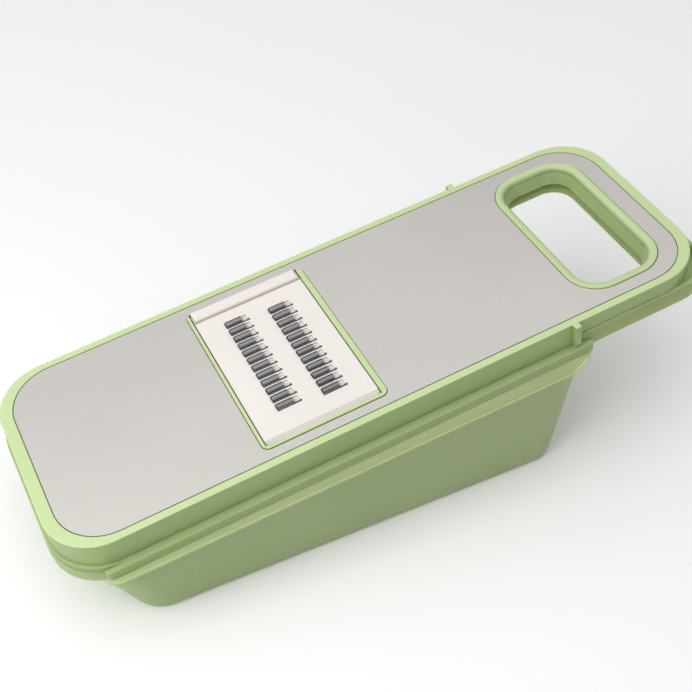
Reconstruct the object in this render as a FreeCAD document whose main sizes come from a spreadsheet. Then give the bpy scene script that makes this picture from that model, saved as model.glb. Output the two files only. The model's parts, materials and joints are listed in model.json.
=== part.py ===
import FreeCAD, Part
import Sketcher
import math
import os

# Vegetable slicer and dicer board: a green frame with an inlaid steel face and a drop-in shredding
# cartridge, which sits on a drain basket, which sits in a wedge-shaped container.
#
# World frame: +X along the board towards the handle, +Z up, origin under the middle of the whole
# object on the surface that it stands on.
# Board frame, in which every piece is drawn: X along the board from the steel face's low end,
# Y across the board from its centre line, Z square to the board from the steel face's top.
# The board frame is tilted up towards the handle by board_tilt and lifted by board_lift.
# Each outline is a rounded rectangle: _start and _end along X, _half each side of the centre line.
SIZES = {
    # how the board frame sits in the world
    "board_tilt": 8.2,
    "board_lift": 59.6,
    "board_shift": -167.8,
    # slicer frame
    "frame_start": -6.7, "frame_end": 337.7, "frame_half": 59.3, "frame_radius": 27.0,
    "rim_top": 0.0, "rim_round": 0.4,
    "skirt_wall": 2.2,
    "skirt_bottom": -14.5,
    "handle_skirt_bottom": -9.0,
    "handle_begin": 259.0,
    "deck_bottom": -3.2,
    "seat_start": -0.5, "seat_end": 332.1, "seat_half": 55.5, "seat_radius": 24.5,
    "seam_depth": 1.3, "bezel_seam": -0.35,
    "rib_bottom": -6.8, "rib_wall": 1.8, "rib_spread": 26.0, "rib_end_gap": 3.4,
    "deck_rib_first": 45.0, "deck_rib_second": 200.0, "deck_rib_third": 245.0,
    "low_rib_start": 2.0, "high_rib_end": 254.0,
    "tab_start": 255.5, "tab_length": 3.3, "tab_half": 62.4, "tab_bottom": -12.5,
    "tab_root": 1.0,
    # steel face
    "panel_start": 0.0, "panel_end": 331.6, "panel_half": 55.0, "panel_radius": 24.0,
    "panel_thickness": 0.5, "face_gap": -0.35,
    # hand hole with its grip ring
    "grip_start": 270.1, "grip_end": 322.0, "grip_half": 48.6, "grip_radius": 18.0,
    "grip_bore_start": 275.2, "grip_bore_end": 316.9, "grip_bore_half": 43.5, "grip_bore_radius": 12.9,
    "grip_foot": -2.2, "grip_crown": 0.8, "grip_gap": 0.3, "palm_round": 2.7, "grip_outer_round": 0.9,
    "collar_start": 273.4, "collar_end": 318.7, "collar_half": 45.3, "collar_radius": 14.7,
    "palm_start": 277.2, "palm_end": 314.9, "palm_half": 41.5, "palm_radius": 10.9,
    # cartridge well in the frame
    "bezel_start": 96.1, "bezel_end": 160.9, "bezel_half": 49.6, "bezel_radius": 3.6,
    "bezel_top": 0.5, "well_bottom": -7.2,
    "well_start": 97.7, "well_end": 158.0, "well_half": 47.9, "well_radius": 0.8,
    "well_seat": -3.15,
    "drop_start": 100.4, "drop_end": 155.3, "drop_half": 46.2, "drop_radius": 2.0,
    "pull_depth": -1.7, "pull_reach": 0.5,
    "tongue_pocket_top": -1.1, "tongue_pocket_bottom": -4.6, "tongue_pocket_half": 51.2,
    "tongue_start": 108.0, "tongue_end": 147.0, "tongue_half": 50.3, "tongue_top": -1.5,
    "tongue_play": 0.5, "tongue_lap": 1.6, "catch_margin": 3.0, "catch_wall": 1.5, "catch_lap": 1.0,
    # shredding cartridge
    "plate_start": 98.3, "plate_end": 157.6, "plate_half": 47.6, "plate_radius": 0.6,
    "plate_top": -0.1, "plate_bottom": -3.0,
    "bevel_run": 3.4, "bevel_drop": 2.5, "bevel_slope": 0.735,
    "bar_near": 41.9, "bar_far": 49.7, "bar_top": 1.9, "bar_round": 1.8, "bar_lift": 0.1,
    "bar_inset": 0.3,
    "skirting_start": 101.0, "skirting_end": 154.7, "skirting_half": 43.0, "skirting_radius": 2.0,
    "skirting_bottom": -6.6, "skirting_wall": 1.6,
    "tooth_count": 12, "tooth_pitch": 5.6, "tooth_radius": 2.0, "tooth_gauge": 0.5,
    "tooth_length": 8.5, "tooth_stagger": 1.4,
    "lower_column": 111.5, "upper_column": 134.3,
    "window_lead": 0.2, "window_end": 8.8, "window_width": 4.4,
    "ramp_end": 11.4, "ramp_depth": 0.5, "chip_slot_end": 12.5, "chip_slot_width": 1.4,
    "strip_start_gap": 4.5, "strip_half": 35.4, "strip_top": -1.4, "strip_gauge": 0.5, "strip_gap": 0.15,
    "stake_radius": 1.1, "stake_pitch": 33.6, "stake_count": 3, "stake_length": 1.2, "stake_gap": 0.05,
    # drain basket
    "rest_start": -8.4, "rest_end": 264.0, "rest_half": 60.9, "rest_radius": 28.6,
    "rest_top": -14.65, "rest_gauge": 1.8, "rest_skirt_bottom": -18.0,
    "rail_start": 10.0, "rail_end": 266.3, "rail_half": 63.6, "rail_top": -14.65, "rail_bottom": -20.0,
    "rail_round": 2.4, "brace_start": 236.0, "brace_end": 264.3, "brace_root": 50.0, "brace_lap": 0.5,
    "brace_bottom": -17.6,
    "upstand_start": -3.4, "upstand_end": 252.0, "upstand_half": 56.0, "upstand_radius": 23.7,
    "upstand_top": -7.6, "upstand_wall": 1.4,
    "step_at": 259.6,
    "loop_start": 200.0, "loop_end": 343.0, "loop_half": 60.2, "loop_radius": 22.0,
    "loop_top": -9.2, "loop_bottom": -19.2, "loop_gauge": 1.8,
    "loop_hole_start": 276.0, "loop_hole_end": 316.4, "loop_hole_half": 43.0, "loop_hole_radius": 12.5,
    "bowl_mouth_start": 12.0, "bowl_mouth_end": 258.0, "bowl_mouth_half": 55.0, "bowl_mouth_radius": 18.0,
    "bowl_floor_start": 29.0, "bowl_floor_end": 244.0, "bowl_floor_half": 51.0, "bowl_floor_radius": 14.0,
    "bowl_lift": 8.0, "bowl_wall": 1.5, "bowl_round": 6.0,
    "slot_length": 22.0, "slot_width": 3.0, "slot_columns": 7, "slot_rows": 10,
    "slot_column_pitch": 28.0, "slot_row_pitch": 9.0, "slot_first": 41.0,
    "slot_sink": 0.5,
    # container
    "tub_rim_start": -9.0, "tub_rim_end": 269.0, "tub_rim_half": 60.6, "tub_rim_radius": 28.0,
    "tub_rim_top": -18.2, "tub_rim_bottom": -24.4, "tub_rim_wall": 1.6, "tub_web": 2.6,
    "shoulder_top": -20.2, "shoulder_half": 66.0, "shoulder_wall": 1.6, "shoulder_lip": 1.2,
    "shoulder_tip": 9.8, "shoulder_start": 14.0, "shoulder_turn": 253.0, "shoulder_end": 261.0,
    "shoulder_heel": 264.2, "shoulder_tip_foot": -22.4, "shoulder_start_foot": -22.8,
    "shoulder_turn_foot": -29.0, "shoulder_end_foot": -23.4, "shoulder_heel_foot": -22.4,
    "shoulder_taper": 2.6, "shoulder_full": 0.0, "bead_run": 0.9, "bead_fall": 0.3,
    "tub_opening_start": 3.0, "tub_opening_end": 267.4, "tub_opening_half": 58.8,
    "tub_opening_radius": 20.0, "tub_mouth_level": -20.4,
    "tub_mouth_start": 1.0, "tub_mouth_end": 271.6, "tub_mouth_half": 62.6, "tub_mouth_radius": 21.0,
    "tub_floor_start": 17.0, "tub_floor_end": 252.3, "tub_floor_half": 61.0, "tub_floor_radius": 17.0,
    "tub_wall": 1.8, "tub_round": 4.0,
}

# The shoulder's sections along the container, each with how far it is drawn in.
SHOULDER_STATIONS = (("shoulder_tip", "shoulder_taper"), ("shoulder_start", "shoulder_full"),
                     ("shoulder_turn", "shoulder_full"), ("shoulder_end", "shoulder_full"),
                     ("shoulder_heel", "shoulder_taper"))

# How closely an edge has to lie to a level or an outline to be picked for rounding.
ACCURACY = 0.02
# How far a cut runs past the material that it opens.
OVERCUT = 1.0

doc = FreeCAD.newDocument("VegetableDicer")


def make_sheet():
    """Write every driving dimension to the sheet, one row each."""
    sheet = doc.addObject("Spreadsheet::Sheet", "Sizes")
    for row, (name, value) in enumerate(SIZES.items(), start=1):
        sheet.set("A%d" % row, name)
        sheet.set("B%d" % row, str(value))
        sheet.setAlias("B%d" % row, name)
    doc.recompute()
    return sheet


def cell(name):
    """The expression for one driving dimension."""
    return "Sizes." + name


def new_body(label, in_board_frame=True):
    """A body drawn in the board frame, and placed in the world by the board's tilt and lift."""
    body = doc.addObject("PartDesign::Body", label)
    body.Label = label
    if in_board_frame:
        tilt_axis = FreeCAD.Vector(0, -1, 0)
        body.Placement = FreeCAD.Placement(
            FreeCAD.Vector(0, 0, 0), FreeCAD.Rotation(tilt_axis, SIZES["board_tilt"]))
        body.setExpression("Placement.Rotation.Angle", cell("board_tilt"))
        body.setExpression("Placement.Base.x", cell("board_shift"))
        body.setExpression("Placement.Base.z", cell("board_lift"))
    return body


def origin_plane(body, role):
    """One of the body's own origin planes, by its role."""
    return [item for item in body.Origin.OriginFeatures if item.Role == role][0]


def new_sketch(body, name, role="XY_Plane", level=None):
    """An empty sketch on one of the body's origin planes, raised to a level."""
    sketch = body.newObject("Sketcher::SketchObject", name)
    sketch.AttachmentSupport = [(origin_plane(body, role), "")]
    sketch.MapMode = "FlatFace"
    if level is not None:
        sketch.setExpression("AttachmentOffset.Base.z", level)
    return sketch


def name_constraint(sketch, constraint, name, expression):
    """Add a dimension to a sketch and bind it to the sheet."""
    index = sketch.addConstraint(constraint)
    sketch.renameConstraint(index, name)
    sketch.setExpression("Constraints." + name, expression)


def draw_rounded_rectangle(sketch, start, end, half, radius, bound):
    """Four lines and four corner arcs, symmetric about the X axis, bound to four expressions."""
    vector = FreeCAD.Vector
    corners = [(end - radius, -half + radius), (end - radius, half - radius),
               (start + radius, half - radius), (start + radius, -half + radius)]
    lines = [((start + radius, -half), (end - radius, -half)),
             ((end, -half + radius), (end, half - radius)),
             ((end - radius, half), (start + radius, half)),
             ((start, half - radius), (start, -half + radius))]
    for first, last in lines:
        sketch.addGeometry(Part.LineSegment(vector(*first, 0), vector(*last, 0)), False)
    quarter = 0.5 * math.pi
    for turn, (x, y) in enumerate(corners):
        circle = Part.Circle(vector(x, y, 0), vector(0, 0, 1), radius)
        begin = (turn - 1) * quarter
        sketch.addGeometry(Part.ArcOfCircle(circle, begin, begin + quarter), False)
    for side in range(4):
        sketch.addConstraint(Sketcher.Constraint("Tangent", side, 2, 4 + side, 1))
        sketch.addConstraint(Sketcher.Constraint("Tangent", 4 + side, 2, (side + 1) % 4, 1))
    sketch.addConstraint(Sketcher.Constraint("Horizontal", 0))
    sketch.addConstraint(Sketcher.Constraint("Vertical", 1))
    sketch.addConstraint(Sketcher.Constraint("Horizontal", 2))
    sketch.addConstraint(Sketcher.Constraint("Vertical", 3))
    for arc in (5, 6, 7):
        sketch.addConstraint(Sketcher.Constraint("Equal", 4, arc))
    start_text, end_text, half_text, radius_text = bound
    name_constraint(sketch, Sketcher.Constraint("Radius", 4, radius), "radius", radius_text)
    name_constraint(sketch, Sketcher.Constraint("DistanceX", -1, 1, 3, 1, start), "first_x", start_text)
    name_constraint(sketch, Sketcher.Constraint("DistanceX", -1, 1, 1, 1, end), "last_x", end_text)
    name_constraint(sketch, Sketcher.Constraint("DistanceY", 0, 1, -1, 1, half), "near_y", half_text)
    name_constraint(sketch, Sketcher.Constraint("DistanceY", -1, 1, 2, 1, half), "far_y", half_text)


def outline_sketch(body, name, outline, level, inset=None, tilt=None):
    """A rounded rectangle from the sheet's outline cells, shrunk all round by the inset cell."""
    sketch = new_sketch(body, name, level=level)
    if tilt is not None:
        lean = FreeCAD.Rotation(FreeCAD.Vector(0, 1, 0), SIZES[tilt])
        sketch.AttachmentOffset = FreeCAD.Placement(FreeCAD.Vector(0, 0, 0), lean)
        sketch.setExpression("AttachmentOffset.Rotation.Angle", cell(tilt))
        sketch.setExpression("AttachmentOffset.Base.z", level)
    step = SIZES[inset] if inset else 0
    plus = " + " + cell(inset) if inset else ""
    minus = " - " + cell(inset) if inset else ""
    bound = (cell(outline + "_start") + plus, cell(outline + "_end") + minus,
             cell(outline + "_half") + minus, cell(outline + "_radius") + minus)
    draw_rounded_rectangle(sketch, SIZES[outline + "_start"] + step, SIZES[outline + "_end"] - step,
                           SIZES[outline + "_half"] - step, SIZES[outline + "_radius"] - step, bound)
    return sketch


def term(name, scale=1, add=0.0):
    """A sheet cell, scaled and shifted: its number and its expression."""
    return scale * SIZES[name] + add, "%g * %s + %g" % (scale, cell(name), add)


def polygon_sketch(body, name, corners, role="XY_Plane", level=None):
    """A closed outline of straight sides; each corner is a pair of terms."""
    sketch = new_sketch(body, name, role, level)
    count = len(corners)
    points = [FreeCAD.Vector(across[0], up[0], 0) for across, up in corners]
    for side in range(count):
        sketch.addGeometry(Part.LineSegment(points[side], points[(side + 1) % count]), False)
    for side in range(count):
        sketch.addConstraint(Sketcher.Constraint("Coincident", side, 2, (side + 1) % count, 1))
    for side, (across, up) in enumerate(corners):
        name_constraint(sketch, Sketcher.Constraint("DistanceX", -1, 1, side, 1, across[0]),
                        "across_%d" % side, across[1])
        name_constraint(sketch, Sketcher.Constraint("DistanceY", -1, 1, side, 1, up[0]),
                        "up_%d" % side, up[1])
    return sketch


def rectangle_sketch(body, name, low, high, level, role="XY_Plane"):
    """A plain rectangle between two corners."""
    corners = [(low[0], low[1]), (high[0], low[1]), (high[0], high[1]), (low[0], high[1])]
    return polygon_sketch(body, name, corners, role, level)


def arch_sketch(body, name, level, centre, spring_height, radius, foot):
    """A round-topped arch across the board, standing at one place along it."""
    sketch = new_sketch(body, name, "YZ_Plane", level)
    middle, rise, size, low = centre[0], spring_height[0], radius[0], foot[0]
    vector = FreeCAD.Vector
    circle = Part.Circle(vector(middle, rise, 0), vector(0, 0, 1), size)
    sketch.addGeometry(Part.ArcOfCircle(circle, 0, math.pi), False)
    corners = [(middle - size, rise), (middle - size, low), (middle + size, low), (middle + size, rise)]
    for first, last in zip(corners, corners[1:]):
        sketch.addGeometry(Part.LineSegment(vector(*first, 0), vector(*last, 0)), False)
    sketch.addConstraint(Sketcher.Constraint("Tangent", 0, 2, 1, 1))
    sketch.addConstraint(Sketcher.Constraint("Coincident", 1, 2, 2, 1))
    sketch.addConstraint(Sketcher.Constraint("Coincident", 2, 2, 3, 1))
    sketch.addConstraint(Sketcher.Constraint("Tangent", 3, 2, 0, 1))
    sketch.addConstraint(Sketcher.Constraint("Horizontal", 2))
    name_constraint(sketch, Sketcher.Constraint("Radius", 0, size), "radius", radius[1])
    name_constraint(sketch, Sketcher.Constraint("DistanceX", -1, 1, 0, 3, middle), "middle", centre[1])
    name_constraint(sketch, Sketcher.Constraint("DistanceY", -1, 1, 0, 3, rise), "rise", spring_height[1])
    name_constraint(sketch, Sketcher.Constraint("DistanceY", -1, 1, 2, 1, low), "foot", foot[1])
    return sketch


def circle_sketch(body, name, level, across, along, radius):
    """One circle, square to Z."""
    sketch = new_sketch(body, name, level=level)
    centre = FreeCAD.Vector(across[0], along[0], 0)
    sketch.addGeometry(Part.Circle(centre, FreeCAD.Vector(0, 0, 1), radius[0]), False)
    name_constraint(sketch, Sketcher.Constraint("Radius", 0, radius[0]), "radius", radius[1])
    name_constraint(sketch, Sketcher.Constraint("DistanceX", -1, 1, 0, 3, across[0]), "across", across[1])
    name_constraint(sketch, Sketcher.Constraint("DistanceY", -1, 1, 0, 3, along[0]), "along", along[1])
    return sketch


def repeat(body, name, originals, direction, pitch, count):
    """Repeat features in a row; pitch and count are expressions."""
    feature = body.newObject("PartDesign::LinearPattern", name)
    feature.Originals = originals
    feature.Direction = direction
    feature.setExpression("Occurrences", count)
    feature.setExpression("Length", "(%s) * (%s - 1)" % (pitch, count))
    body.Tip = feature
    return feature


def pad(body, name, sketch, length):
    """Add material above the sketch."""
    feature = body.newObject("PartDesign::Pad", name)
    feature.Profile = sketch
    feature.setExpression("Length", length)
    return feature


def pocket(body, name, sketch, length, upward=False):
    """Remove material below the sketch, or above it where upward is true."""
    feature = body.newObject("PartDesign::Pocket", name)
    feature.Profile = sketch
    feature.Reversed = upward
    feature.setExpression("Length", length)
    return feature


def loft(body, name, first, others, subtract=False):
    """A straight-sided loft from one outline through the others."""
    kind = "PartDesign::SubtractiveLoft" if subtract else "PartDesign::AdditiveLoft"
    feature = body.newObject(kind, name)
    feature.Profile = first
    feature.Sections = others
    feature.Ruled = True
    return feature


def soften(body, name, radius, wanted):
    """Round the edges of the body's tip that the wanted test picks; the radius is an expression."""
    doc.recompute()
    tip = body.Tip
    edges = ["Edge%d" % number for number, edge in enumerate(tip.Shape.Edges, start=1) if wanted(edge)]
    feature = body.newObject("PartDesign::Fillet", name)
    feature.Base = (tip, edges)
    feature.setExpression("Radius", radius)
    doc.recompute()
    return feature


def near(first, second):
    """Whether two lengths are the same to the modeller's accuracy."""
    return abs(first - second) < ACCURACY


def at_level(level):
    """A test for edges that lie flat at one height of the board frame."""
    def test(edge):
        box = edge.BoundBox
        return near(box.ZMin, level) and near(box.ZMax, level)
    return test


def on_outline(level, half, radius, ends):
    """A test for the edges of one rounded rectangle at one height."""
    def test(edge):
        if not at_level(level)(edge):
            return False
        if hasattr(edge.Curve, "Radius"):
            return near(edge.Curve.Radius, radius)
        box = edge.BoundBox
        along_side = near(abs(box.YMin), half) and near(abs(box.YMax), half)
        across_end = any(near(box.XMin, end) and near(box.XMax, end) for end in ends)
        return along_side or across_end
    return test


def make_slicer_frame():
    """The green frame: skirted deck, raised rim, cartridge well, hand-hole wall, ribs and tabs."""
    body = new_body("slicer_frame")
    outline = outline_sketch(body, "FrameOutline", "frame", cell("skirt_bottom"))
    pad(body, "FrameBlock", outline, "Sizes.rim_top - Sizes.skirt_bottom")
    handle_low = (term("handle_begin"), term("frame_half", -1, -OVERCUT))
    handle_high = (term("frame_end", 1, OVERCUT), term("frame_half", 1, OVERCUT))
    relief = rectangle_sketch(body, "HandleReliefOutline", handle_low, handle_high, cell("skirt_bottom"))
    pocket(body, "HandleRelief", relief, "Sizes.handle_skirt_bottom - Sizes.skirt_bottom", upward=True)
    frame_ends = (SIZES["frame_start"], SIZES["frame_end"])
    soften(body, "RimRound", cell("rim_round"),
           on_outline(SIZES["rim_top"], SIZES["frame_half"], SIZES["frame_radius"], frame_ends))
    hollow = outline_sketch(body, "HollowOutline", "frame", cell("skirt_bottom"), "skirt_wall")
    pocket(body, "Hollow", hollow, "Sizes.deck_bottom - Sizes.skirt_bottom", upward=True)
    seat = outline_sketch(body, "SeatOutline", "seat", cell("rim_top"))
    pocket(body, "Seat", seat, "Sizes.rim_top + Sizes.seam_depth")
    plateau = outline_sketch(body, "PlateauOutline", "panel", "-Sizes.seam_depth")
    pad(body, "Plateau", plateau, "Sizes.seam_depth - Sizes.panel_thickness")
    seam = outline_sketch(body, "BezelSeamOutline", "bezel", "0", "bezel_seam")
    pocket(body, "BezelSeam", seam, cell("seam_depth"))
    collar = outline_sketch(body, "CollarOutline", "collar", cell("handle_skirt_bottom"))
    pad(body, "Collar", collar, "Sizes.deck_bottom - Sizes.handle_skirt_bottom")
    bezel = outline_sketch(body, "BezelOutline", "bezel", cell("well_bottom"))
    pad(body, "Bezel", bezel, "Sizes.bezel_top - Sizes.well_bottom")
    catch_low = (term("tongue_start", 1, -SIZES["catch_margin"]),
                 term("tongue_pocket_half", -1, -SIZES["catch_wall"]))
    catch_high = (term("tongue_end", 1, SIZES["catch_margin"]), term("well_half", -1, -SIZES["catch_lap"]))
    catch = rectangle_sketch(body, "CatchOutline", catch_low, catch_high, cell("well_bottom"))
    pad(body, "CatchHousing", catch, "Sizes.deck_bottom - Sizes.well_bottom")
    for rib_name in ("deck_rib_first", "deck_rib_second", "deck_rib_third"):
        rib_low = (term(rib_name), term("upstand_half", -1, SIZES["rib_end_gap"]))
        rib_high = (term(rib_name, 1, SIZES["rib_wall"]), term("upstand_half", 1, -SIZES["rib_end_gap"]))
        rib = rectangle_sketch(body, rib_name + "_outline", rib_low, rib_high, cell("rib_bottom"))
        pad(body, rib_name + "_pad", rib, "Sizes.deck_bottom - Sizes.rib_bottom")
    half_rib = 0.5 * SIZES["rib_wall"]
    for row, across in enumerate((-1, 0, 1)):
        for first, last in (("low_rib_start", "bezel_start"), ("bezel_end", "high_rib_end")):
            middle = across * SIZES["rib_spread"]
            middle_text = "%d * Sizes.rib_spread" % across
            rib_low = (term(first), (middle - half_rib, middle_text + " - 0.5 * Sizes.rib_wall"))
            rib_high = (term(last), (middle + half_rib, middle_text + " + 0.5 * Sizes.rib_wall"))
            rib_name = "%s_rib_%d" % (first, row)
            rib = rectangle_sketch(body, rib_name + "_outline", rib_low, rib_high, cell("rib_bottom"))
            pad(body, rib_name, rib, "Sizes.deck_bottom - Sizes.rib_bottom")
    drop = outline_sketch(body, "DropOutline", "drop", cell("bezel_top"))
    pocket(body, "Drop", drop, "Sizes.bezel_top - Sizes.well_bottom + %g" % OVERCUT)
    well = outline_sketch(body, "WellOutline", "well", cell("bezel_top"))
    pocket(body, "Well", well, "Sizes.bezel_top - Sizes.well_seat")
    pull_low = (term("well_start"), term("well_half", 1, -OVERCUT))
    pull_high = (term("well_end"), term("bezel_half", 1, SIZES["pull_reach"]))
    pull = rectangle_sketch(body, "PullOutline", pull_low, pull_high, cell("bezel_top"))
    pocket(body, "PullNotch", pull, "Sizes.bezel_top - Sizes.pull_depth")
    tongue_low = (term("tongue_start", 1, -SIZES["tongue_play"]), term("tongue_pocket_half", -1))
    tongue_high = (term("tongue_end", 1, SIZES["tongue_play"]), term("well_half", -1, OVERCUT))
    tongue = rectangle_sketch(body, "TonguePocketOutline", tongue_low, tongue_high,
                              cell("tongue_pocket_top"))
    pocket(body, "TonguePocket", tongue, "Sizes.tongue_pocket_top - Sizes.tongue_pocket_bottom")
    rebate = outline_sketch(body, "GripRebateOutline", "grip", cell("rim_top"))
    pocket(body, "GripRebate", rebate, "Sizes.rim_top - Sizes.grip_foot")
    palm = outline_sketch(body, "PalmOutline", "palm", cell("handle_skirt_bottom"))
    throat = outline_sketch(body, "ThroatOutline", "grip_bore", cell("grip_foot"))
    loft(body, "HandHole", palm, [throat], subtract=True)
    for side, name in ((-1, "NearTab"), (1, "FarTab")):
        inner = term("frame_half", side, -side * SIZES["tab_root"])
        outer = term("tab_half", side)
        low = (term("tab_start"), min(inner, outer))
        high = (term("tab_start", 1, SIZES["tab_length"]), max(inner, outer))
        tab = rectangle_sketch(body, name + "Outline", low, high, cell("tab_bottom"))
        pad(body, name, tab, "Sizes.rim_top - Sizes.tab_bottom")
    doc.recompute()
    return body


def make_steel_face():
    """The thin stainless face, cut out round the cartridge well and the hand hole."""
    body = new_body("steel_face")
    outline = outline_sketch(body, "FaceOutline", "panel", "-Sizes.panel_thickness")
    pad(body, "FaceSheet", outline, cell("panel_thickness"))
    well = outline_sketch(body, "FaceWellOutline", "bezel", "0", "face_gap")
    pocket(body, "FaceWell", well, cell("panel_thickness"))
    hole = outline_sketch(body, "FaceHoleOutline", "grip", "0")
    pocket(body, "FaceHole", hole, cell("panel_thickness"))
    return body


def make_grip_ring():
    """The rounded ring that lines the hand hole and holds the steel's edge down."""
    body = new_body("grip_ring")
    outline = outline_sketch(body, "RingOutline", "grip", cell("grip_foot"), "grip_gap")
    pad(body, "RingBlock", outline, "Sizes.grip_crown - Sizes.grip_foot")
    bore = outline_sketch(body, "RingBoreOutline", "grip_bore", cell("grip_crown"))
    pocket(body, "RingBore", bore, "Sizes.grip_crown - Sizes.grip_foot")
    bore_ends = (SIZES["grip_bore_start"], SIZES["grip_bore_end"])
    soften(body, "PalmRound", cell("palm_round"), on_outline(
        SIZES["grip_crown"], SIZES["grip_bore_half"], SIZES["grip_bore_radius"], bore_ends))
    gap = SIZES["grip_gap"]
    outer_ends = (SIZES["grip_start"] + gap, SIZES["grip_end"] - gap)
    soften(body, "OuterRound", cell("grip_outer_round"), on_outline(
        SIZES["grip_crown"], SIZES["grip_half"] - gap, SIZES["grip_radius"] - gap, outer_ends))
    return body


def tooth_row_centre(side):
    """The first tooth's place across the board; side is 1 for the lower column and -1 for the other."""
    half_row = 0.5 * (SIZES["tooth_count"] - 1) * SIZES["tooth_pitch"]
    number = side * SIZES["tooth_stagger"] - half_row
    text = "%d * Sizes.tooth_stagger - 0.5 * (Sizes.tooth_count - 1) * Sizes.tooth_pitch" % side
    return number, text


def make_cartridge_body():
    """The white plate with its pull bar, bevelled tongue edge, tooth windows, skirting and stakes."""
    body = new_body("cartridge_body")
    plate = outline_sketch(body, "PlateOutline", "plate", cell("plate_bottom"))
    pad(body, "Plate", plate, "Sizes.plate_top - Sizes.plate_bottom")
    skirting = outline_sketch(body, "SkirtingOutline", "skirting", cell("skirting_bottom"))
    pad(body, "Skirting", skirting, "Sizes.plate_bottom - Sizes.skirting_bottom")
    inside = outline_sketch(body, "SkirtingInsideOutline", "skirting", cell("skirting_bottom"),
                            "skirting_wall")
    pocket(body, "SkirtingInside", inside, "Sizes.plate_bottom - Sizes.skirting_bottom", upward=True)
    bevel_edge = term("plate_half", -1, -OVERCUT)
    bevel_inner = (SIZES["bevel_run"] - SIZES["plate_half"], "Sizes.bevel_run - Sizes.plate_half")
    fall = SIZES["bevel_drop"] + SIZES["bevel_slope"] * OVERCUT
    bevel_foot = (SIZES["plate_top"] - fall,
                  "Sizes.plate_top - Sizes.bevel_drop - Sizes.bevel_slope * %g" % OVERCUT)
    corners = [(bevel_edge, bevel_foot), (bevel_inner, term("plate_top")),
               (bevel_edge, term("plate_top", 1, OVERCUT))]
    bevel = polygon_sketch(body, "BevelOutline", corners, "YZ_Plane",
                           "Sizes.plate_end + %g" % OVERCUT)
    pocket(body, "Bevel", bevel, "Sizes.plate_end - Sizes.plate_start + %g" % (2 * OVERCUT))
    tongue_low = (term("tongue_start"), term("tongue_half", -1))
    tongue_high = (term("tongue_end"), term("plate_half", -1, SIZES["tongue_lap"]))
    tongue = rectangle_sketch(body, "TongueOutline", tongue_low, tongue_high, cell("plate_bottom"))
    pad(body, "Tongue", tongue, "Sizes.tongue_top - Sizes.plate_bottom")
    bar_low = (term("plate_start", 1, SIZES["bar_inset"]), term("bar_near"))
    bar_high = (term("plate_end", 1, -SIZES["bar_inset"]), term("bar_far"))
    bar = rectangle_sketch(body, "BarOutline", bar_low, bar_high, "Sizes.pull_depth + Sizes.bar_lift")
    pad(body, "PullBar", bar, "Sizes.bar_top - Sizes.pull_depth - Sizes.bar_lift")
    soften(body, "BarRound", cell("bar_round"), at_level(SIZES["bar_top"]))
    for column, side in (("lower_column", 1), ("upper_column", -1)):
        first, first_text = tooth_row_centre(side)
        half_width = 0.5 * SIZES["window_width"]
        near_edge = (first - half_width, first_text + " - 0.5 * Sizes.window_width")
        far_edge = (first + half_width, first_text + " + 0.5 * Sizes.window_width")
        slot_edge = (first - half_width + SIZES["chip_slot_width"],
                     first_text + " - 0.5 * Sizes.window_width + Sizes.chip_slot_width")
        through = "Sizes.plate_top - Sizes.plate_bottom"
        cuts = (("Window", "window_lead", -1, near_edge, "window_end", far_edge, through),
                ("ChipSlot", "window_end", 1, near_edge, "chip_slot_end", slot_edge, through),
                ("Ramp", "window_end", 1, slot_edge, "ramp_end", far_edge, cell("ramp_depth")))
        for name, begin, sign, near_y, finish, far_y, depth in cuts:
            low = (term(column, 1, sign * SIZES[begin]), near_y)
            high = (term(column, 1, SIZES[finish]), far_y)
            outline = rectangle_sketch(body, column + name + "Outline", low, high, cell("plate_top"))
            cut = pocket(body, column + name, outline, depth)
            repeat(body, column + name + "Row", [cut], (outline, ["V_Axis"]), cell("tooth_pitch"),
                   cell("tooth_count"))
        gap = SIZES["strip_gap"]
        recess_low = (term(column, 1, -SIZES["strip_start_gap"] - gap), term("strip_half", -1, -gap))
        recess_high = (term(column, 1, SIZES["tooth_length"] + gap), term("strip_half", 1, gap))
        recess = rectangle_sketch(body, column + "RecessOutline", recess_low, recess_high,
                                  cell("plate_bottom"))
        pocket(body, column + "Recess", recess, "Sizes.strip_top - Sizes.plate_bottom", upward=True)
        stake = circle_sketch(body, column + "StakeOutline", "Sizes.strip_top - Sizes.stake_length",
                              term(column, 1, -0.5 * SIZES["strip_start_gap"]), term("stake_pitch", -1),
                              term("stake_radius"))
        stake_pad = pad(body, column + "Stake", stake, cell("stake_length"))
        repeat(body, column + "Stakes", [stake_pad], (stake, ["V_Axis"]), cell("stake_pitch"),
               cell("stake_count"))
    doc.recompute()
    return body


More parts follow.
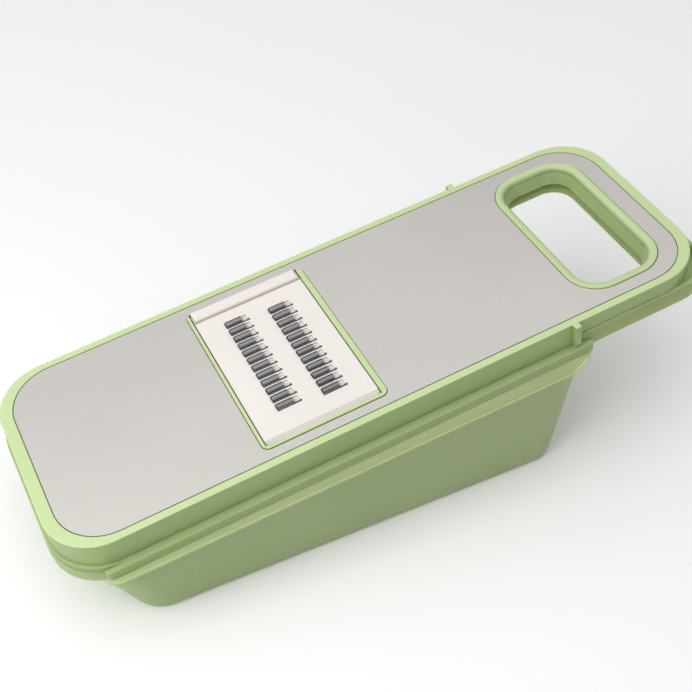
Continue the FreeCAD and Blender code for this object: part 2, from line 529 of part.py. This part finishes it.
def make_blade(label, column, side):
    """One steel strip with its row of raised half-round teeth, open towards the handle."""
    body = new_body(label)
    low = (term(column, 1, -SIZES["strip_start_gap"]), term("strip_half", -1))
    high = (term(column, 1, SIZES["tooth_length"]), term("strip_half"))
    strip = rectangle_sketch(body, "StripOutline", low, high, "Sizes.strip_top - Sizes.strip_gauge")
    pad(body, "Strip", strip, cell("strip_gauge"))
    centre = tooth_row_centre(side)
    foot = (SIZES["strip_top"] - SIZES["strip_gauge"], "Sizes.strip_top - Sizes.strip_gauge")
    outer = arch_sketch(body, "ToothOutline", cell(column), centre, term("plate_top"),
                        term("tooth_radius"), foot)
    tooth = pad(body, "Tooth", outer, cell("tooth_length"))
    repeat(body, "Teeth", [tooth], (strip, ["V_Axis"]), cell("tooth_pitch"), cell("tooth_count"))
    bore = (SIZES["tooth_radius"] - SIZES["tooth_gauge"], "Sizes.tooth_radius - Sizes.tooth_gauge")
    mouth = "%s + %s + %g" % (cell(column), cell("tooth_length"), OVERCUT)
    inner = arch_sketch(body, "ToothBoreOutline", mouth, centre, term("plate_top"), bore,
                        (foot[0] - OVERCUT, foot[1] + " - %g" % OVERCUT))
    tooth_bore = pocket(body, "ToothBore", inner, "%s + %g" % (cell("tooth_length"), OVERCUT))
    repeat(body, "ToothBores", [tooth_bore], (strip, ["V_Axis"]), cell("tooth_pitch"), cell("tooth_count"))
    hole = circle_sketch(body, "StakeHoleOutline", cell("strip_top"),
                         term(column, 1, -0.5 * SIZES["strip_start_gap"]), term("stake_pitch", -1),
                         term("stake_radius", 1, SIZES["stake_gap"]))
    stake_hole = pocket(body, "StakeHole", hole, cell("strip_gauge"))
    repeat(body, "StakeHoles", [stake_hole], (hole, ["V_Axis"]), cell("stake_pitch"),
           cell("stake_count"))
    doc.recompute()
    return body


def floor_level(lift=None):
    """Where a plane parallel to the table, lifted by some distance, crosses the board frame's Z axis."""
    raised = cell(lift) + " - " if lift else "-"
    return "(%sSizes.board_lift) / cos(Sizes.board_tilt * 1 deg)" % raised


def hollow_tub(body, mouth, floor, mouth_level, lift, wall, round_radius, opening):
    """A tapered vessel with a round-edged floor parallel to the table; opening is its hollow's mouth."""
    mouth_outer = outline_sketch(body, "MouthOuter", mouth, mouth_level)
    floor_outer = outline_sketch(body, "FloorOuter", floor, floor_level(lift), tilt="board_tilt")
    loft(body, "Vessel", mouth_outer, [floor_outer])
    doc.recompute()
    lean = FreeCAD.Rotation(FreeCAD.Vector(0, 1, 0), SIZES["board_tilt"])
    upward = lean.multVec(FreeCAD.Vector(0, 0, 1))
    drop = -SIZES["board_lift"] + (SIZES[lift] if lift else 0)

    def floor_edges(height):
        def test(edge):
            return all(near(vertex.Point.dot(upward), drop + height) for vertex in edge.Vertexes)
        return test
    mouth_inner = outline_sketch(body, "MouthInner", opening[0], mouth_level, opening[1])
    inner_level = floor_level(lift) + " + %s / cos(Sizes.board_tilt * 1 deg)" % cell(wall)
    floor_inner = outline_sketch(body, "FloorInner", floor, inner_level, wall, tilt="board_tilt")
    loft(body, "VesselHollow", mouth_inner, [floor_inner], subtract=True)
    soften(body, "InnerFloorRound", cell(round_radius) + " - " + cell(wall), floor_edges(SIZES[wall]))
    soften(body, "FloorRound", cell(round_radius), floor_edges(0))


def rail_corners(edge):
    """A test for the upright corners of the side rails."""
    box = edge.BoundBox
    upright = near(box.XLength, 0) and near(box.YLength, 0)
    return upright and near(max(abs(box.YMin), abs(box.YMax)), SIZES["rail_half"])


def make_drain_basket():
    """The perforated basket: bowl, resting rim, upstand under the board, side rails, handle loop."""
    body = new_body("drain_basket")
    loop = outline_sketch(body, "LoopOutline", "loop", cell("loop_bottom"))
    pad(body, "LoopBlock", loop, "Sizes.loop_top - Sizes.loop_bottom")
    tray = outline_sketch(body, "LoopTrayOutline", "loop", cell("loop_top"), "loop_gauge")
    pocket(body, "LoopTray", tray, "Sizes.loop_top - Sizes.rest_top")
    under = outline_sketch(body, "LoopHollowOutline", "loop", cell("loop_bottom"), "loop_gauge")
    pocket(body, "LoopHollow", under, "Sizes.rest_top - Sizes.rest_gauge - Sizes.loop_bottom", upward=True)
    clear_low = (term("loop_start", 1, -OVERCUT), term("loop_half", -1, -OVERCUT))
    clear_high = (term("step_at"), term("loop_half", 1, OVERCUT))
    clear = rectangle_sketch(body, "BoardClearanceOutline", clear_low, clear_high, cell("loop_top"))
    pocket(body, "BoardClearance", clear, "Sizes.loop_top - Sizes.loop_bottom + %g" % OVERCUT)
    hand = outline_sketch(body, "LoopHoleOutline", "loop_hole", cell("rest_top"))
    pocket(body, "LoopHole", hand, "Sizes.rest_gauge + %g" % OVERCUT)
    rest = outline_sketch(body, "RestOutline", "rest", cell("rest_skirt_bottom"))
    pad(body, "RestBlock", rest, "Sizes.rest_top - Sizes.rest_skirt_bottom")
    below = outline_sketch(body, "RestHollowOutline", "rest", cell("rest_skirt_bottom"), "rest_gauge")
    pocket(body, "RestHollow", below, "Sizes.rest_top - Sizes.rest_gauge - Sizes.rest_skirt_bottom",
           upward=True)
    for side, name in ((-1, "NearRail"), (1, "FarRail")):
        inner = term("rest_half", side)
        outer = term("rail_half", side)
        low = (term("rail_start"), min(inner, outer))
        high = (term("rail_end"), max(inner, outer))
        rail = rectangle_sketch(body, name + "Outline", low, high, cell("rail_bottom"))
        pad(body, name, rail, "Sizes.rail_top - Sizes.rail_bottom")
        root = term("brace_root", side)
        lap = term("rest_half", side, side * SIZES["brace_lap"])
        low = (term("brace_start"), min(root, lap))
        high = (term("brace_end"), max(root, lap))
        brace = rectangle_sketch(body, name + "BraceOutline", low, high, cell("brace_bottom"))
        pad(body, name + "Brace", brace, "Sizes.rail_top - Sizes.brace_bottom")
    soften(body, "RailRound", cell("rail_round"), rail_corners)
    upstand = outline_sketch(body, "UpstandOutline", "upstand", cell("rest_top"))
    pad(body, "Upstand", upstand, "Sizes.upstand_top - Sizes.rest_top")
    inside = outline_sketch(body, "UpstandInsideOutline", "upstand", cell("upstand_top"), "upstand_wall")
    pocket(body, "UpstandInside", inside, "Sizes.upstand_top - Sizes.rest_top")
    hollow_tub(body, "bowl_mouth", "bowl_floor", cell("rest_top"), "bowl_lift", "bowl_wall", "bowl_round",
               ("bowl_mouth", "bowl_wall"))
    slot = drain_slot_sketch(body)
    cut = pocket(body, "DrainSlot", slot, "Sizes.bowl_wall + %g" % OVERCUT, upward=True)
    slots = body.newObject("PartDesign::LinearPattern", "DrainSlots")
    slots.Originals = [cut]
    slots.Direction = (slot, ["H_Axis"])
    slots.setExpression("Occurrences", cell("slot_columns"))
    slots.setExpression("Length", "Sizes.slot_column_pitch * (Sizes.slot_columns - 1)")
    slots.Direction2 = (slot, ["V_Axis"])
    slots.setExpression("Occurrences2", cell("slot_rows"))
    slots.setExpression("Length2", "Sizes.slot_row_pitch * (Sizes.slot_rows - 1)")
    body.Tip = slots
    doc.recompute()
    return body


def drain_slot_sketch(body):
    """The drain slot nearest the low end, drawn on the basket's sloping floor."""
    row_reach = 0.5 * SIZES["slot_row_pitch"] * (SIZES["slot_rows"] - 1) + 0.5 * SIZES["slot_width"]
    row_text = "-0.5 * Sizes.slot_row_pitch * (Sizes.slot_rows - 1) %s 0.5 * Sizes.slot_width"
    low = (term("slot_first"), (-row_reach, row_text % "-"))
    high = (term("slot_first", 1, SIZES["slot_length"]), (-row_reach + SIZES["slot_width"], row_text % "+"))
    sketch = rectangle_sketch(body, "DrainSlotOutline", low, high, floor_level("bowl_lift"))
    lean = FreeCAD.Rotation(FreeCAD.Vector(0, 1, 0), SIZES["board_tilt"])
    sketch.AttachmentOffset = FreeCAD.Placement(FreeCAD.Vector(0, 0, 0), lean)
    sketch.setExpression("AttachmentOffset.Rotation.Angle", cell("board_tilt"))
    sketch.setExpression("AttachmentOffset.Base.z", floor_level("bowl_lift") + " - Sizes.slot_sink")
    return sketch


def shoulder_corners(side, foot, taper):
    """The shoulder's thin hooked section on one side of the container, down to one foot level."""
    wall = SIZES["shoulder_wall"]
    drawn_in = SIZES[taper]
    root = term("tub_rim_half", side, -side * wall)
    outer = term("shoulder_half", side, -side * drawn_in)
    hooked = term("shoulder_half", side, -side * (wall + drawn_in))
    brow = term("rail_half", side, -side * drawn_in)
    bead = term("shoulder_half", side, -side * (SIZES["bead_run"] + drawn_in))
    bend = term("rail_half", side, -side * (wall + drawn_in))
    return [(root, term("shoulder_top")),
            (brow, term("shoulder_top")),
            (bead, term(foot, 1, SIZES["shoulder_lip"] + SIZES["bead_fall"])),
            (outer, term(foot, 1, SIZES["shoulder_lip"])),
            (outer, term(foot)),
            (hooked, term(foot)),
            (hooked, term(foot, 1, SIZES["shoulder_lip"])),
            (bend, term("shoulder_top", 1, -wall)),
            (root, term("shoulder_top", 1, -wall))]


def make_container():
    """The wedge-shaped container: vessel, rim band and the sloping shoulders along its sides."""
    body = new_body("container")
    rim = outline_sketch(body, "TubRimOutline", "tub_rim", cell("tub_rim_bottom"))
    pad(body, "TubRimBlock", rim, "Sizes.tub_rim_top - Sizes.tub_rim_bottom")
    below = outline_sketch(body, "TubRimHollowOutline", "tub_rim", cell("tub_rim_bottom"), "tub_rim_wall")
    pocket(body, "TubRimHollow", below, "Sizes.tub_rim_top - Sizes.tub_web - Sizes.tub_rim_bottom",
           upward=True)
    for side, name in ((-1, "NearShoulder"), (1, "FarShoulder")):
        profiles = []
        for station, taper in SHOULDER_STATIONS:
            corners = shoulder_corners(side, station + "_foot", taper)
            profile = polygon_sketch(body, name + "At_" + station, corners, "YZ_Plane", cell(station))
            profiles.append(profile)
        loft(body, name, profiles[0], profiles[1:])
    opening = outline_sketch(body, "TubOpeningOutline", "tub_opening", cell("tub_rim_top"))
    pocket(body, "TubOpening", opening, "Sizes.tub_rim_top - Sizes.tub_mouth_level")
    hollow_tub(body, "tub_mouth", "tub_floor", cell("tub_mouth_level"), None, "tub_wall", "tub_round",
               ("tub_opening", None))
    doc.recompute()
    return body


def check(body):
    """Stop if a sub-part didn't come out as one good solid."""
    shape = body.Shape
    if shape.isNull() or not shape.isValid():
        raise RuntimeError(body.Label + " has no valid shape")
    print("%-16s solids %d  volume %.0f mm3" % (body.Label, len(shape.Solids), shape.Volume))


def main():
    make_sheet()
    bodies = [
        make_slicer_frame(),
        make_steel_face(),
        make_grip_ring(),
        make_cartridge_body(),
        make_blade("lower_blade", "lower_column", 1),
        make_blade("upper_blade", "upper_column", -1),
        make_drain_basket(),
        make_container(),
    ]
    doc.recompute()
    for item in doc.Objects:
        if "Invalid" in item.State or "Error" in item.State:
            raise RuntimeError(item.Label + " failed: " + str(item.State))
    for body in bodies:
        check(body)
    os.makedirs("parts", exist_ok=True)
    for body in bodies:
        body.Shape.exportStep("parts/%s.step" % body.Label)


main()
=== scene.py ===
import json
import math

import bpy
from mathutils import Matrix, Vector


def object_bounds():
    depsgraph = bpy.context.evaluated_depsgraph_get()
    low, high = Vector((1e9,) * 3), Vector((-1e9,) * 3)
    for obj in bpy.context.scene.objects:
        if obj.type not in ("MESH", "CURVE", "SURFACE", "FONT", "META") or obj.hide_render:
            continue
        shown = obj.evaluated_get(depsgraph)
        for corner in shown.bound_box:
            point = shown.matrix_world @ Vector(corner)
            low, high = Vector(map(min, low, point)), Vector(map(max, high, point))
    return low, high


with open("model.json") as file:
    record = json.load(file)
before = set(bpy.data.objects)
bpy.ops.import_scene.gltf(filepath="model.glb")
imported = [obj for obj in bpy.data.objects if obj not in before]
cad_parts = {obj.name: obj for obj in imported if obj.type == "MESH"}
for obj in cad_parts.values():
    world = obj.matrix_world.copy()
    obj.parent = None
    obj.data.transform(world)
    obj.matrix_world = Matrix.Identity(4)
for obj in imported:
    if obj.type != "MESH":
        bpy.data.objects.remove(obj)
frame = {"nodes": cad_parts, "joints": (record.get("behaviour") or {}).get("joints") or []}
cad_low, cad_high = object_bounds()
nodes = frame["nodes"]

# The floor's flat part and its raised far edge: radius and height.
FLOOR_RINGS = ((22.0, 0.0), (32.0, 6.0))
# The board slopes up towards the handle; grain and scratches follow it.
BOARD_AXIS = Vector(next(j for j in frame["joints"] if j["name"] == "cartridge_tilt")["axis"])
BOARD_TILT = math.atan2(BOARD_AXIS.z, BOARD_AXIS.x)


class Shader:
    """A small helper that makes and links the nodes of one material."""

    def __init__(self, name):
        self.material = bpy.data.materials.new(name)
        self.material.use_nodes = True
        self.tree = self.material.node_tree
        self.tree.nodes.clear()
        self.out = self.add("ShaderNodeOutputMaterial")
        coordinates = self.add("ShaderNodeTexCoord")
        mapping = self.add("ShaderNodeMapping")
        mapping.inputs["Rotation"].default_value = (0, BOARD_TILT, 0)
        self.link(coordinates.outputs["Object"], mapping.inputs["Vector"])
        self.place = mapping.outputs["Vector"]

    def add(self, kind, **values):
        node = self.tree.nodes.new(kind)
        for name, value in values.items():
            setattr(node, name, value)
        return node

    def link(self, source, target):
        self.tree.links.new(source, target)

    def stretched(self, scale):
        """The board-aligned coordinates, stretched by a scale for each axis."""
        mapping = self.add("ShaderNodeMapping")
        mapping.inputs["Scale"].default_value = scale
        self.link(self.place, mapping.inputs["Vector"])
        return mapping.outputs["Vector"]

    def noise(self, scale, detail=3.0, roughness=0.5, stretch=(1, 1, 1)):
        node = self.add("ShaderNodeTexNoise")
        node.inputs["Scale"].default_value = scale
        node.inputs["Detail"].default_value = detail
        node.inputs["Roughness"].default_value = roughness
        self.link(self.stretched(stretch), node.inputs["Vector"])
        return node.outputs["Fac"]

    def ramp(self, source, stops):
        node = self.add("ShaderNodeValToRGB")
        element = node.color_ramp.elements
        while len(element) < len(stops):
            element.new(0.5)
        for item, (position, colour) in zip(element, stops):
            item.position = position
            item.color = (*colour, 1) if len(colour) == 3 else colour
        self.link(source, node.inputs["Fac"])
        return node.outputs["Color"]

    def blend(self, first, second, share):
        """A number part of the way from the first to the second."""
        node = self.add("ShaderNodeMix", data_type="FLOAT")
        node.inputs["Factor"].default_value = share
        self.link(first, node.inputs["A"])
        self.link(second, node.inputs["B"])
        return node.outputs["Result"]

    def scratches(self, scale, stretch):
        """Thin lines along the board, where a long stretched noise crosses its middle."""
        node = self.add("ShaderNodeMapRange")
        node.inputs["From Min"].default_value = 0.62
        node.inputs["From Max"].default_value = 0.66
        self.link(self.noise(scale, 2.0, 0.5, stretch), node.inputs["Value"])
        return node.outputs["Result"]

    def edge_round(self, radius):
        """A normal that rounds sharp edges a little, so that they catch the light."""
        node = self.add("ShaderNodeBevel")
        node.samples = 4
        node.inputs["Radius"].default_value = radius
        return node.outputs["Normal"]

    def paint_side_shade(self, colour, tone, reach):
        """The colour, darkened with painted shade: multiplied by the tone where the surface stands square
        to the board, as though less light fell there.

        reach is how far the surface has to lean back, as a cosine, before it has its full colour.
        """
        # Painted shade: surfaces that face sideways rather than up get the darker tone.
        shape = self.add("ShaderNodeNewGeometry")
        upright = self.add("ShaderNodeVectorMath", operation="DOT_PRODUCT")
        upright.inputs[1].default_value = (-BOARD_AXIS.z, 0.0, BOARD_AXIS.x)
        self.link(shape.outputs["True Normal"], upright.inputs[0])
        painted_shade = self.ramp(upright.outputs["Value"], [(0.03, tone), (reach, (1, 1, 1))])
        node = self.add("ShaderNodeVectorMath", operation="MULTIPLY")
        self.link(colour, node.inputs[0])
        self.link(painted_shade, node.inputs[1])
        return node.outputs["Vector"]

    def spread(self, source, low, high):
        """Map a 0 to 1 value onto low to high."""
        node = self.add("ShaderNodeMapRange")
        node.inputs["From Min"].default_value = 0.3
        node.inputs["From Max"].default_value = 0.7
        node.inputs["To Min"].default_value = low
        node.inputs["To Max"].default_value = high
        self.link(source, node.inputs["Value"])
        return node.outputs["Result"]

    def bump(self, heights, normal=None):
        """Chain bump nodes from pairs of (height source, depth in metres)."""
        for source, depth in heights:
            node = self.add("ShaderNodeBump")
            node.inputs["Distance"].default_value = depth
            node.inputs["Strength"].default_value = 1.0
            self.link(source, node.inputs["Height"])
            if normal is not None:
                self.link(normal, node.inputs["Normal"])
            normal = node.outputs["Normal"]
        return normal

    def principled(self, colour, roughness, normal=None, **sockets):
        node = self.add("ShaderNodeBsdfPrincipled")
        self.link(colour, node.inputs["Base Color"])
        self.link(roughness, node.inputs["Roughness"])
        if normal is not None:
            self.link(normal, node.inputs["Normal"])
        for name, value in sockets.items():
            node.inputs[name.replace("_", " ")].default_value = value
        return node.outputs["BSDF"]

    def mix(self, share, first, second):
        node = self.add("ShaderNodeMixShader")
        node.inputs["Fac"].default_value = share
        self.link(first, node.inputs[1])
        self.link(second, node.inputs[2])
        return node.outputs["Shader"]

    def finish(self, shader):
        self.link(shader, self.out.inputs["Surface"])
        return self.material


def moulded_plastic(name, dark, light, roughness, depth, glow, soak=0.0022, painted_side_shade=None,
                    painted_shade_reach=0.22, see_through=0.0):
    """Injection-moulded plastic: colour drift, flow marks, fine skin, handling scratches, soft depth.

    The optional side colour is painted shade: it darkens the walls that stand square to the board, as
    though the light from above reached them less.
    """
    s = Shader(name)
    drift = s.noise(14.0, 4.0)
    mottle = s.noise(420.0, 3.0, 0.6)
    colour = s.ramp(s.blend(drift, mottle, 0.35), [(0.3, dark), (0.7, light)])
    # Painted shade on the walls that stand square to the board.
    if painted_side_shade:
        colour = s.paint_side_shade(colour, painted_side_shade, painted_shade_reach)
    handling = s.noise(90.0, 5.0, 0.6, (0.25, 1.0, 1.0))
    scratches = s.scratches(260.0, (0.03, 1.0, 1.0))
    skin = s.noise(2600.0, 2.0)
    flow = s.noise(22.0, 2.0)
    normal = s.bump([(flow, 0.00010), (skin, 0.000005), (scratches, 0.000004)], s.edge_round(0.0003))
    gloss = s.spread(handling, roughness - 0.05, roughness + 0.09)
    shader = s.principled(colour, gloss, normal, IOR=1.49, Subsurface_Weight=depth,
                          Subsurface_Radius=glow, Subsurface_Scale=soak)
    if see_through:
        inside = s.add("ShaderNodeBsdfTranslucent")
        inside.inputs["Color"].default_value = (*glow, 1)
        s.link(normal, inside.inputs["Normal"])
        shader = s.mix(see_through, shader, inside.outputs["BSDF"])
    return s.finish(shader)


def satin_steel(name, dark, light, roughness, grain, wear):
    """Rolled stainless sheet with a fine satin grain, clouding and a few rubbed scratches."""
    s = Shader(name)
    speckle = s.noise(1500.0, 3.0, 0.7)
    streak = s.noise(420.0, 4.0, 0.6, (0.05, 1.0, 1.0))
    cloud = s.noise(9.0, 3.0)
    colour = s.ramp(s.blend(speckle, cloud, 0.5), [(0.3, dark), (0.7, light)])
    scratches = s.scratches(150.0, (0.02, 1.0, 1.0))
    normal = s.bump([(streak, grain), (speckle, grain * 1.5), (scratches, wear)], s.edge_round(0.00015))
    gloss = s.spread(streak, roughness - 0.05, roughness + 0.07)
    return s.finish(s.principled(colour, gloss, normal, Metallic=1.0))


# The side colours given to the plastics below are painted shade on their upright walls, not colours of the
# plastic.
GREEN_GLOW = (0.80, 1.0, 0.35)
green = moulded_plastic("green_plastic", (0.53, 0.67, 0.335), (0.57, 0.705, 0.365), 0.40, 0.25, GREEN_GLOW,
                        painted_side_shade=(0.54, 0.55, 0.43), painted_shade_reach=0.9)
ring_green = moulded_plastic("ring_plastic", (0.50, 0.63, 0.32), (0.54, 0.66, 0.35), 0.34, 0.25, GREEN_GLOW,
                             painted_side_shade=(0.58, 0.59, 0.50), painted_shade_reach=0.9)
basket_green = moulded_plastic("basket_plastic", (0.44, 0.54, 0.27), (0.48, 0.575, 0.30), 0.38, 0.5,
                               (0.90, 1.0, 0.62), 0.006, painted_side_shade=(0.76, 0.77, 0.66), see_through=0.30)
container_green = moulded_plastic("container_plastic", (0.49, 0.60, 0.28), (0.54, 0.64, 0.32), 0.36, 0.5,
                                  (0.85, 0.97, 0.55), 0.006, painted_side_shade=(0.76, 0.78, 0.80),
                                  see_through=0.22)
white = moulded_plastic("white_plastic", (0.80, 0.755, 0.715), (0.84, 0.79, 0.75), 0.46, 0.3,
                        (1.0, 0.88, 0.72), 0.0015, painted_side_shade=(0.55, 0.52, 0.46), painted_shade_reach=1.0)
face_steel = satin_steel("face_steel", (0.675, 0.65, 0.61), (0.79, 0.76, 0.715), 0.46, 0.000002, 0.000002)
blade_steel = satin_steel("blade_steel", (0.15, 0.145, 0.145), (0.36, 0.35, 0.35), 0.28, 0.000004, 0.000004)

FINISH = {
    "slicer_frame": green,
    "grip_ring": ring_green,
    "steel_face": face_steel,
    "cartridge_body": white,
    "lower_blade": blade_steel,
    "upper_blade": blade_steel,
    "drain_basket": basket_green,
    "container": container_green,
}
for name, material in FINISH.items():
    data = nodes[name].data
    for index in range(len(data.materials)):
        data.materials[index] = material


def make_floor():
    """A plain pale floor under the object, which rises gently far away to close the horizon."""
    s = Shader("floor_paint")
    tone = s.ramp(s.noise(3.0, 3.0), [(0.3, (0.93, 0.93, 0.93)), (0.7, (0.95, 0.95, 0.95))])
    material = s.finish(s.principled(tone, s.spread(s.noise(40.0), 0.85, 0.95)))
    sides = 48
    corners = []
    for reach, height in FLOOR_RINGS:
        for side in range(sides):
            turn = 2 * math.pi * side / sides
            corners.append((reach * math.cos(turn), reach * math.sin(turn), height))
    faces = [list(range(sides))]
    for side in range(sides):
        follower = (side + 1) % sides
        faces.append([side, sides + side, sides + follower, follower])
    data = bpy.data.meshes.new("floor")
    data.from_pydata(corners, [], faces)
    data.materials.append(material)
    floor = bpy.data.objects.new("floor", data)
    floor.location.z = -0.0002
    bpy.context.scene.collection.objects.link(floor)


def make_world():
    """A big soft light overhead, leaning a little towards the low end, and dim walls."""
    world = bpy.data.worlds.new("studio")
    bpy.context.scene.world = world
    world.use_nodes = True
    tree = world.node_tree
    tree.nodes.clear()
    out = tree.nodes.new("ShaderNodeOutputWorld")
    back = tree.nodes.new("ShaderNodeBackground")
    place = tree.nodes.new("ShaderNodeTexCoord")
    height = tree.nodes.new("ShaderNodeVectorMath")
    height.operation = "DOT_PRODUCT"
    height.inputs[1].default_value = Vector((-0.18, 0.0, 1.0)).normalized()
    ramp = tree.nodes.new("ShaderNodeValToRGB")
    stops = [(0.0, 0.10), (0.45, 0.20), (0.72, 0.66), (1.0, 1.0)]
    element = ramp.color_ramp.elements
    while len(element) < len(stops):
        element.new(0.5)
    for item, (position, grey) in zip(element, stops):
        item.position = position
        item.color = (grey, grey, grey * 1.01, 1)
    tree.links.new(place.outputs["Generated"], height.inputs[0])
    tree.links.new(height.outputs["Value"], ramp.inputs["Fac"])
    tree.links.new(ramp.outputs["Color"], back.inputs["Color"])
    back.inputs["Strength"].default_value = 1.36
    tree.links.new(back.outputs["Background"], out.inputs["Surface"])


def make_camera():
    """The photograph's viewpoint: low end at the left, handle away at the right."""
    data = bpy.data.cameras.new("camera")
    data.sensor_width = 36.0
    data.lens = 63.05
    data.clip_start = 0.01
    camera = bpy.data.objects.new("camera", data)
    heading, fall, roll = math.radians(27.52), math.radians(44.52), math.radians(1.27)
    forward = Vector((math.sin(heading) * math.cos(fall), math.cos(heading) * math.cos(fall),
                      -math.sin(fall)))
    level = forward.cross(Vector((0, 0, 1))).normalized()
    upright = level.cross(forward)
    right = level * math.cos(roll) + upright * math.sin(roll)
    up = right.cross(forward)
    turn = Matrix((right, up, -forward)).transposed()
    camera.matrix_world = Matrix.Translation((-0.2066, -0.3845, 0.4947)) @ turn.to_4x4()
    bpy.context.scene.collection.objects.link(camera)
    bpy.context.scene.camera = camera


def make_lamp():
    """A broad soft box above and beyond the low end, so that the light falls off towards the handle."""
    data = bpy.data.lights.new("soft_box", "AREA")
    data.shape = "DISK"
    data.size = 0.7
    data.energy = 3.8
    lamp = bpy.data.objects.new("soft_box", data)
    lamp.location = Vector((cad_low[0] - 0.55, cad_low[1] - 0.09, cad_high[2] + 0.50))
    aim = Vector((cad_low[0], 0.0, 0.0)) - lamp.location
    lamp.rotation_euler = aim.to_track_quat("-Z", "Y").to_euler()
    bpy.context.scene.collection.objects.link(lamp)


make_floor()
make_world()
make_lamp()
make_camera()
bpy.context.scene.view_settings.view_transform = "Standard"
